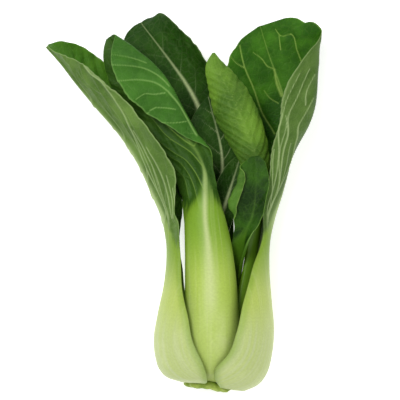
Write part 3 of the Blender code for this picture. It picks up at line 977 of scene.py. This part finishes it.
@dataclass
class RightLeaf(Leaf):
    """The large outer leaf at the right, its edge curled back to the viewer."""

    name: str = "right"
    stations: tuple[Station, ...] = sections(
        (13, -26.3, 29, -90, 16.5, 19, 56, 67, 19, 5),
        (18.5, -21, 29, -90, 22.5, 30, 58, 84, 30, 8),
        (22.5, -15.1, 29, -90, 27.6, 36.5, 59, 80, 36.5, 9),
        (25.5, -7.35, 29.2, -90, 30.4, 36.5, 55, 61, 36.5, 8.7),
        (27.3, 4, 29.5, -90, 31, 35.4, 54, 52, 35.4, 8),
        (27.3, 21, 29, -90, 28, 31, 49, 43, 31, 6.8),
        (27.5, 40, 28, -90, 19.5, 20.5, 42, 34, 20.5, 5.2),
        (28.4, 57, 26, -80, 14, 9, 44, 30, 12, 4.5),
        (32, 72, 24, -80, 17, 12, 42, 44, 8, 3.8),
        (38.2, 90, 20.5, -66, 25, 24, 34, 84, 5.5, 3.2),
        (43, 108, 17.5, -48, 31, 35, 28, 116, 4.2, 2.7, 10, 14),
        (44.2, 125, 15, -27, 34, 45, 24, 98, 3.4, 2.3, 56, 14),
        (42.6, 143, 13.5, -12, 36, 51, 22, 45, 2.7, 1.9, 116, 15),
        (38.5, 157, 13.5, -6, 35, 51, 24, 25, 2.2, 1.6, 132, 19.5),
        (34, 169, 14.5, -4, 29.5, 43, 26, 20, 1.7, 1.3, 126, 25),
        (32, 175, 15.2, -4, 24.5, 39, 24, 18, 1.5, 1.2, 116, 28),
        (30.5, 180, 16, -4, 19.5, 33.5, 18, 14, 1.3, 1.1, 100, 32),
        (29.6, 182.7, 16.4, -4, 15.5, 28, 14, 10, 1.2, 1, 60, 34),
        (29, 184.8, 16.8, -4, 11, 25, 8, 8, 1.1, 1, 0, 34),
        (28.4, 186.8, 17.1, -4, 5.5, 21.5, 3, 6, 1, 1, 0, 34),
        (28, 188, 17.3, -4, 1.5, 16, 1, 5, 1, 1, 0, 34),
    )
    finish: LeafFinish = LIT
    veins: Veins = field(default_factory=lambda: Veins(
        first=40, last=170, left=Run(200, 44, 0.35), right=Run(200, 25, 0.6),
        width=0.4, strength=0.6, twigs=1, seed=5, drawn=(
            Drawn(((33, 64), (38, 83), (40, 100), (44, 118), (45, 135), (50, 145), (58, 161)),
                  0.5),
            Drawn(((34, 64), (42, 88), (46, 104), (49, 118), (51, 128), (56, 136), (60, 144)),
                  0.5),
            Drawn(((55, 140), (56, 148), (61, 158)), 0.45),
            Drawn(((32, 70), (36, 92), (39, 110), (40, 128), (43, 142), (52, 158)), 0.4),
            Drawn(((33, 66), (37, 86), (39, 104), (42, 120), (43, 134)), 0.35),
            Drawn(((34, 66), (40, 86), (43, 102), (46, 116)), 0.35),
            Drawn(((34, 80), (35, 98), (36, 112)), 0.35),
            Drawn(((38, 123), (30, 136), (23, 153), (18, 163), (15, 177)), 0.5, False),
            Drawn(((42, 146), (39, 154), (37, 163)), 0.8, False),
            Drawn(((37, 163), (33, 165), (28, 169), (23, 173)), 0.35, False),
            Drawn(((40, 142), (35, 145), (31, 150)), 0.35, False),
            Drawn(((18, 163), (12, 166), (8, 169)), 0.35, False),
            Drawn(((54, 167), (51, 174), (47, 184), (41, 183), (38, 187)), 0.35, False),
            Drawn(((41, 175), (40, 183)), 0.35, False),
        )))
    blade_from: float = 63.0
    fold_side: Side = Side.RIGHT
    fold_over: float = 20.0
    wave: float = 0.8
    phase: float = 2.0
    rows: int = 320
    columns: int = 150
    relief: float = 0.6
    flank: float = 0.6
    flank_from: float = 0.86


@dataclass
class FrontLeaf(Leaf):
    """The broad front stalk with a blade that is folded over to the left."""

    name: str = "front"
    stations: tuple[Station, ...] = sections(
        (-2, -24, 36, 180, 7.5, 7.5, 45, 45, 7.5, 4.6),
        (-2, -19, 42.5, 180, 12, 12, 56, 56, 12, 6.4),
        (-1.6, -11, 47.5, 180, 15.5, 15.5, 60, 60, 15.5, 7.4),
        (-1.5, -1, 50, 180, 16.8, 16.8, 60, 60, 16.8, 7.6),
        (-1.5, 18, 49.5, 180, 16.5, 16.5, 58, 58, 16.5, 7.2),
        (-2.2, 38, 47.5, 180, 15.5, 15.5, 54, 54, 15.5, 6.2),
        (-3.6, 56, 45.5, 180, 14, 14, 50, 50, 14, 5.4),
        (-5.4, 73, 44.2, 180, 11.5, 13, 44, 46, 11.5, 4.7),
        (-5.4, 88, 44, 180, 8.4, 17, 32, 48, 6.6, 4, 0, 4),
        (-6.2, 101, 44, 180, 6, 22, 20, 50, 4.4, 3.2, -90, 3),
        (-11, 112.5, 44, 180, 10.5, 25.5, 10, 50, 4.2, 2.8, -156, 3.5),
        (-16, 119.2, 43.8, 180, 16, 26, 10, 50, 4, 2.6, -164, 4),
        (-21.8, 127, 43.5, 180, 22.5, 25, 10, 48, 3.6, 2.4, -166, 5),
        (-28.2, 139, 42.7, 180, 31, 23, 10, 46, 2.8, 2, -168, 5),
        (-34.6, 150, 42, 180, 35.5, 23.5, 10, 46, 2.3, 1.7, -168, 5),
        (-41.5, 158, 41.4, 180, 35, 23, 10, 44, 1.9, 1.5, -168, 5),
        (-49, 164.8, 40.6, 180, 31, 20.5, 10, 40, 1.6, 1.3, -168, 4.5),
        (-55.4, 170.6, 39.8, 180, 23.5, 15, 6, 32, 1.3, 1.1, -168, 4),
        (-60, 175.8, 39, 180, 12.5, 8, 4, 14, 1.1, 1, -164, 2.5),
        (-62.8, 179.6, 38.5, 180, 3.5, 2, 0, 2, 1, 1, -150, 1),
    )
    finish: LeafFinish = MEADOW
    veins: Veins = field(default_factory=lambda: Veins(
        first=80, last=150, left=Run(200, 60, 0.2), right=Run(17, 18, 0.3),
        width=0.4, strength=0.6, seed=8, drawn=(
            Drawn(((-9, 122), (-14, 131), (-21, 141), (-27, 148)), 0.7),
            Drawn(((-27, 148), (-34, 153), (-44, 155), (-57, 154)), 0.5),
            Drawn(((-29, 147), (-35, 146), (-41, 146), (-46, 143)), 0.45),
            Drawn(((-25, 152), (-33, 158), (-42, 162), (-60, 164)), 0.45),
            Drawn(((-22, 137), (-29, 138), (-34, 138), (-39, 135)), 0.4),
            Drawn(((-16, 130), (-25, 129), (-31, 128)), 0.35),
            Drawn(((-40, 165), (-48, 168), (-60, 170)), 0.35),
        )))
    blade_from: float = 80.0
    fold_side: Side = Side.LEFT
    fold_over: float = 7.0
    wave: float = 0.7
    waves: float = 7.0
    ridge_highlight: float = 1.0
    flank: float = 0.4
    ridge: float = 0.5
    core: float = 0.95
    green_from: float = -1.0
    pale_rib: float = 0.45
    rib_under: float = 0.3


@dataclass
class BackLeaf(Leaf):
    """The large leaf behind, its inner face showing, its own dark green deepened with painted
    shade.
    """

    name: str = "back"
    stations: tuple[Station, ...] = sections(
        (0, -24.5, 22, 0, 7.5, 7.5, 45, 45, 7.5, 4.6),
        (0, -19, 15.5, 0, 11.5, 11.5, 56, 56, 11.5, 6.4),
        (0, -11, 10.6, 0, 14.5, 14.5, 60, 60, 14.5, 7.4),
        (0, -1, 8.4, 0, 15.8, 15.8, 60, 60, 15.8, 7.9),
        (0, 11, 8.4, 0, 15.8, 15.8, 58, 58, 15.8, 7.7),
        (-0.5, 30, 8.4, 0, 15.5, 15.5, 54, 54, 15.5, 6.8),
        (-1.5, 57, 9, 0, 14, 14, 45, 45, 14, 5.2),
        (-2, 78, 11, 0, 16, 15, 40, 40, 10, 4.2),
        (-3, 100, 13, 2, 27, 21, 34, 36, 7, 3.6),
        (-5, 120, 15, 4, 36, 24, 32, 40, 5, 3),
        (-9.4, 139, 17.5, 4, 38, 24, 32, 52, 3.8, 2.5),
        (-17.4, 154, 19.5, 2, 36, 22.5, 32, 62, 3, 2),
        (-24.5, 164, 21, 0, 32, 21, 30, 62, 2.2, 1.6),
        (-32, 174, 22.4, 0, 28, 19.5, 22, 50, 1.6, 1.3),
        (-38.3, 182.2, 22.4, 0, 22, 16.5, 12, 36, 1.2, 1.1),
        (-41.2, 186, 20.4, 0, 17.5, 14, 6, 28, 1.1, 1),
        (-43.2, 188.8, 17.6, 0, 11.5, 10, 2, 16, 1, 1),
        (-44.2, 190.6, 16, 0, 5, 4.5, 0, 4, 1, 1),
    )
    finish: LeafFinish = DARK_SHADED
    veins: Veins = field(default_factory=lambda: Veins(
        first=90, last=215, left=Run(20, 44, 0.3), right=Run(20, 40, 0.3),
        width=0.35, strength=0.3, bristles=3.0, seed=21))
    blade_from: float = 72.0
    teeth: float = 0.2
    rib_upper: float = 0.42
    waves: float = 5.0
    phase: float = 1.0


@dataclass
class MiddleLeaf(Leaf):
    """A dark inner leaf in the shade of the others."""

    name: str = "middle"
    stations: tuple[Station, ...] = sections(
        (-5, -19, 23.5, 34, 5, 5, 40, 40, 5, 3.2),
        (-8, -4, 19.5, 34, 8.2, 8.2, 60, 60, 8.2, 4.6),
        (-7, 25, 19, 28, 8.2, 8.2, 55, 55, 8.2, 4.2),
        (-3, 57, 18.5, 10, 8.5, 8.5, 45, 45, 8.5, 4),
        (2, 80, 20.5, 0, 12, 12, 35, 35, 6, 3.2),
        (5, 98, 23, 0, 18, 16, 30, 36, 4, 2.6),
        (4.5, 112, 25, 0, 20, 16, 20, 36, 3, 2.1),
        (1.5, 126, 26.5, 0, 18, 15, 15, 36, 2.2, 1.7),
        (-1.5, 137, 27, 0, 11, 10, 8, 18, 1.6, 1.3),
        (-3.5, 145, 27, 0, 1, 1, 0, 1, 1, 1),
    )
    finish: LeafFinish = DARK_SHADED
    veins: Veins = field(default_factory=lambda: Veins(
        first=84, last=158, left=Run(12, 42, 0.3), right=Run(12, 42, 0.3),
        width=0.4, strength=0.4, seed=4))
    blade_from: float = 72.0
    rows: int = 190
    columns: int = 70
    wave: float = 1.4
    phase: float = 2.4


@dataclass
class HeartLeaf(Leaf):
    """The young leaf at the core of the head."""

    name: str = "heart"
    stations: tuple[Station, ...] = sections(
        (-4, -19, 33, 80, 5, 5, 40, 40, 5, 3.4),
        (-6, 0, 34, 80, 7.5, 7.5, 60, 60, 7.5, 4),
        (-5, 30, 32, 66, 7.5, 7.5, 55, 55, 7.5, 3.8),
        (0.5, 60, 28.5, 24, 6.5, 6.5, 45, 45, 6, 3.4),
        (6, 78, 28.5, 0, 8, 8, 40, 40, 4.5, 2.8),
        (10.5, 92, 30, 0, 9, 8.5, 40, 40, 3, 2.2),
        (14, 103, 30.5, 0, 6, 6, 24, 24, 1.8, 1.5),
        (16, 110, 30.5, 0, 1, 1, 2, 2, 1, 1),
    )
    finish: LeafFinish = DARK_SHADED
    veins: Veins = field(default_factory=lambda: Veins(
        first=92, last=126, left=Run(8, 34, 0.3), right=Run(8, 34, 0.3),
        width=0.35, strength=0.3, seed=2))
    blade_from: float = 70.0
    rows: int = 150
    columns: int = 50
    wave: float = 0.5
    waves: float = 3.0
    phase: float = 0.4
    teeth: float = 0.2


@dataclass
class OliveLeaf(Leaf):
    """The bright yellow-green inner leaf, folded, its back showing."""

    name: str = "olive"
    stations: tuple[Station, ...] = sections(
        (10.5, -19, 32, -100, 4, 4, 40, 40, 4, 3.2),
        (16.2, -4, 32.2, -98, 6.4, 6.4, 60, 60, 6.4, 4.4),
        (16.8, 24, 31.2, -98, 6.4, 6.4, 55, 55, 6.4, 4.2),
        (20, 40, 28.5, -100, 6.2, 6.2, 50, 50, 6.2, 3.8),
        (22, 50, 26.4, -106, 6, 6, 45, 45, 6, 3.4),
        (24, 66, 28, -124, 6, 6, 40, 40, 5.6, 3.2),
        (26, 82, 30.5, -148, 6, 6, 40, 40, 5, 3),
        (26.5, 98, 34, -168, 7, 7, 40, 40, 4, 2.6),
        (24, 111, 37, -176, 11, 13, 60, 60, 3, 2.2),
        (18.5, 126, 39.5, -180, 13.8, 16.5, 62, 66, 2.4, 1.8),
        (11.5, 142, 40, -180, 12.4, 16.5, 60, 66, 1.9, 1.5),
        (5, 155, 39.5, -180, 8.8, 12, 50, 56, 1.4, 1.2),
        (0.5, 165, 38, -180, 4.2, 5.6, 24, 26, 1.1, 1),
        (-0.3, 170.5, 37, -180, 0.8, 0.8, 2, 2, 1, 1),
    )
    finish: LeafFinish = OLIVE_GREEN
    veins: Veins = field(default_factory=lambda: Veins(
        first=108, last=188, left=Run(5.5, 44, 0.2), right=Run(5.5, 44, 0.2),
        width=0.35, strength=0.4, twigs=0, seed=9))
    blade_from: float = 94.0
    rows: int = 220
    columns: int = 90
    wave: float = 0.5
    waves: float = 3.0
    teeth: float = 0.2
    ridge: float = 0.25
    pale_rib: float = 0.25


@dataclass
class CurlyLeaf(Leaf):
    """The small inner leaf with a curled edge."""

    name: str = "curly"
    stations: tuple[Station, ...] = sections(
        (5.5, -19, 24.5, -44, 4.2, 4.2, 40, 40, 4.2, 3.2),
        (7.4, -4, 19, -34, 5.2, 5.2, 60, 60, 5.2, 4),
        (10, 24, 21.8, -34, 5.2, 5.2, 55, 55, 5.2, 4),
        (11.2, 39, 29, -34, 5, 5, 50, 50, 5, 3.6),
        (13, 50, 35.6, -32, 5, 5, 45, 45, 5, 3.4),
        (15.8, 59, 40.4, -28, 4.8, 4.8, 40, 40, 4.8, 3),
        (19.2, 66, 43, -18, 8.5, 5, 40, 30, 4.2, 2.8, 60, 7),
        (21.8, 71, 44.5, -12, 15.5, 5.5, 34, 30, 3.6, 2.5, 150, 10),
        (23.6, 78, 45.6, -6, 21.5, 6.5, 26, 30, 3.2, 2.3, 168, 13.5),
        (24.6, 88, 46, 2, 19.5, 7.5, 24, 24, 2.6, 1.9, 168, 11.5),
        (25, 95, 45.6, 4, 17, 7.5, 20, 16, 2, 1.6, 168, 9.5),
        (25, 101, 45, 4, 11.5, 6.5, 12, 10, 1.6, 1.3, 150, 7.5),
        (24.6, 106, 44.2, 2, 7, 5, 6, 6, 1.2, 1.1, 60, 6),
        (24.2, 109, 43.6, 0, 2.5, 2.5, 1, 1, 1, 1, 10, 3),
    )
    finish: LeafFinish = CURLED
    veins: Veins = field(default_factory=lambda: Veins(
        first=84, last=122, left=Run(7, 42, 0.3), right=Run(7, 42, 0.3),
        width=0.4, strength=0.25, twigs=1, seed=6))
    blade_from: float = 62.0
    rows: int = 160
    columns: int = 80
    fold_side: Side = Side.LEFT
    fold_over: float = 5.0
    wave: float = 0.8
    phase: float = 1.2
    teeth: float = 0.2
    pale_rib: float = 0.5


@dataclass(frozen=True)
class RootFinish:
    """The moist, scarred tissue of the cut root."""

    pale: Rgb = tint(172, 192, 84)
    deep: Rgb = tint(128, 156, 40)

    def material(self) -> bpy.types.Material:
        """Lays out the material of the cut root.

        Returns:
            The finished material.
        """
        n = Nodes("cut_root")
        place = n.node("TexCoord", {}).outputs["Object"]
        broad = n.noise(place, 180.0, 4.0, 0.6)
        fine = n.noise(place, 900.0, 3.0, 0.6)
        n.give({
            "Base Color": n.mix(n.span(broad, 0.3, 0.7), self.deep, self.pale),
            "Roughness": n.span(fine, 0.0, 1.0, 0.45, 0.8),
        })
        n.bump(n.plus(broad, n.times(fine, 0.4)), 0.6, 0.0009)
        return n.material


@dataclass
class RootPlate:
    """The cut root that all the stalks grow from."""

    axis_x: float = -4.4
    axis_z: float = 29.0
    profile: tuple[tuple[float, float], ...] = (
        (10.5, -29.4), (12.4, -28.9), (13.4, -27.9), (13.4, -26.6),
        (12.4, -25.2), (10.4, -23.9), (7, -22.4), (4.6, -20.4),
    )
    sides: int = 96
    finish: RootFinish = RootFinish()

    def roughened(self, places: np.ndarray) -> np.ndarray:
        """The plate's points with an uneven outline and face.

        Args:
            places: The points in millimetres.

        Returns:
            The moved points.
        """
        even_to = 6.0
        uneven_over = 6.0
        out = places.copy()
        across = places[:, 0] - self.axis_x
        high = places[:, 2] - self.axis_z
        angle = np.arctan2(high, across)
        reach = smooth((np.hypot(across, high) - even_to) / uneven_over)
        swell = 0.05 * np.sin(3 * angle + 0.6) + 0.035 * np.sin(7 * angle)
        swell += 0.03 * np.sin(17 * angle)
        out[:, 0] = self.axis_x + across * (1 + reach * swell)
        out[:, 2] = self.axis_z + high * (1 + reach * swell)
        out[:, 1] += reach * (0.35 * np.sin(5 * angle + 1.0) + 0.25 * np.sin(11 * angle))
        return out

    def build(self) -> bpy.types.Object:
        """Makes the plate by extruding and scaling a disc, ring by ring.

        Returns:
            The finished piece.
        """
        deselected()
        bpy.ops.mesh.primitive_circle_add(
            vertices=self.sides, radius=self.profile[0][0] * MM, fill_type="TRIFAN",
            location=(self.axis_x * MM, self.profile[0][1] * MM, self.axis_z * MM),
            rotation=(math.pi / 2, 0, 0),
        )
        piece = bpy.context.object
        piece.name = "stem_base_cut"
        piece.data.name = "stem_base_cut"
        bpy.ops.object.transform_apply(location=True, rotation=True, scale=True)
        bpy.ops.object.mode_set(mode="EDIT")
        centre = (self.axis_x * MM, 0.0, self.axis_z * MM)
        for (radius, y), (wide, far) in zip(self.profile, self.profile[1:]):
            bpy.ops.mesh.extrude_region_move(
                TRANSFORM_OT_translate={"value": (0.0, (far - y) * MM, 0.0)}
            )
            bpy.ops.transform.resize(
                value=(wide / radius, 1.0, wide / radius), center_override=centre
            )
        bpy.ops.object.mode_set(mode="OBJECT")
        face_outwards()
        places = points_of(piece.data).astype(float) / MM
        move_points(piece.data, leaned(self.roughened(places)) * MM)
        bpy.ops.object.shade_smooth_by_angle(angle=math.radians(50))
        piece.data.materials.append(self.finish.material())
        return piece


@dataclass
class Studio:
    """The floor, the soft lights and the camera over the head."""

    centre: tuple[float, float] = (-0.0084, 0.0828)
    height: float = 1.53
    focal: float = 225.0
    floor_size: float = 6.0
    surround: float = 0.38

    def floor(self) -> None:
        """A plain pale floor."""
        below = -0.0003
        deselected()
        bpy.ops.mesh.primitive_plane_add(size=self.floor_size, location=(0, 0, below))
        floor = bpy.context.object
        floor.name = "floor"
        n = Nodes("floor_white")
        n.give({
            "Base Color": (0.93, 0.93, 0.93),
            "Roughness": 0.9,
            "Specular IOR Level": 0.1,
            "Emission Color": (1.0, 1.0, 1.0),
            "Emission Strength": 0.5,
        })
        floor.data.materials.append(n.material)

    def lamp(self, name: str, place: tuple[float, float, float], power: float, size: float) -> None:
        """A soft square lamp that shines at the head.

        Args:
            name: The lamp's name.
            place: Where it hangs, in metres.
            power: Its power in watts.
            size: The length of its side.
        """
        aim_height = 0.03
        deselected()
        bpy.ops.object.light_add(type="AREA", location=place)
        lamp = bpy.context.object
        lamp.name = name
        lamp.data.energy = power
        lamp.data.size = size
        aim = np.array([*self.centre, aim_height]) - np.array(place)
        flat = math.hypot(aim[0], aim[1])
        lamp.rotation_euler = (math.atan2(flat, -aim[2]), 0.0, math.atan2(-aim[0], aim[1]))

    def camera(self) -> None:
        """The camera, looking straight down."""
        eye = bpy.data.cameras.new("eye")
        eye.lens = self.focal
        eye.sensor_width = 36.0
        eye.clip_end = 50.0
        holder = bpy.data.objects.new("eye", eye)
        bpy.context.scene.collection.objects.link(holder)
        holder.location = (*self.centre, self.height)
        bpy.context.scene.camera = holder

    def light(self) -> None:
        """The lamps and the pale surroundings."""
        self.lamp("key", (-0.45, 0.55, 1.25), 12.0, 0.6)
        self.lamp("fill", (0.7, -0.1, 0.95), 3.5, 0.9)
        self.lamp("foot", (-0.1, -0.8, 0.8), 2.0, 0.8)
        world = bpy.data.worlds.new("surround")
        world.use_nodes = True
        background = world.node_tree.nodes["Background"].inputs
        background["Color"].default_value = (1, 1, 1, 1)
        background["Strength"].default_value = self.surround
        bpy.context.scene.world = world
        bpy.context.scene.view_settings.view_transform = "Standard"

    def build(self) -> None:
        """Sets up the whole studio."""
        self.floor()
        self.light()
        self.camera()


def main() -> None:
    """Builds the studio, the root and every leaf."""
    logging.basicConfig(level=logging.INFO, format="%(name)s: %(message)s")
    Studio().build()
    root = RootPlate().build()
    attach(root, "root")
    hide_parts("stem_base")
    LOG.info("%s with %d faces", root.name, len(root.data.polygons))
    leaves = (
        LeftLeaf, RightLeaf, FrontLeaf, BackLeaf, MiddleLeaf, HeartLeaf, OliveLeaf, CurlyLeaf,
    )
    for kind in leaves:
        leaf = kind()
        piece = leaf.build()
        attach(piece, "root")
        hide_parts(*leaf.nodes())
        LOG.info("%s with %d faces", piece.name, len(piece.data.polygons))


if __name__ == "__main__":
    main()
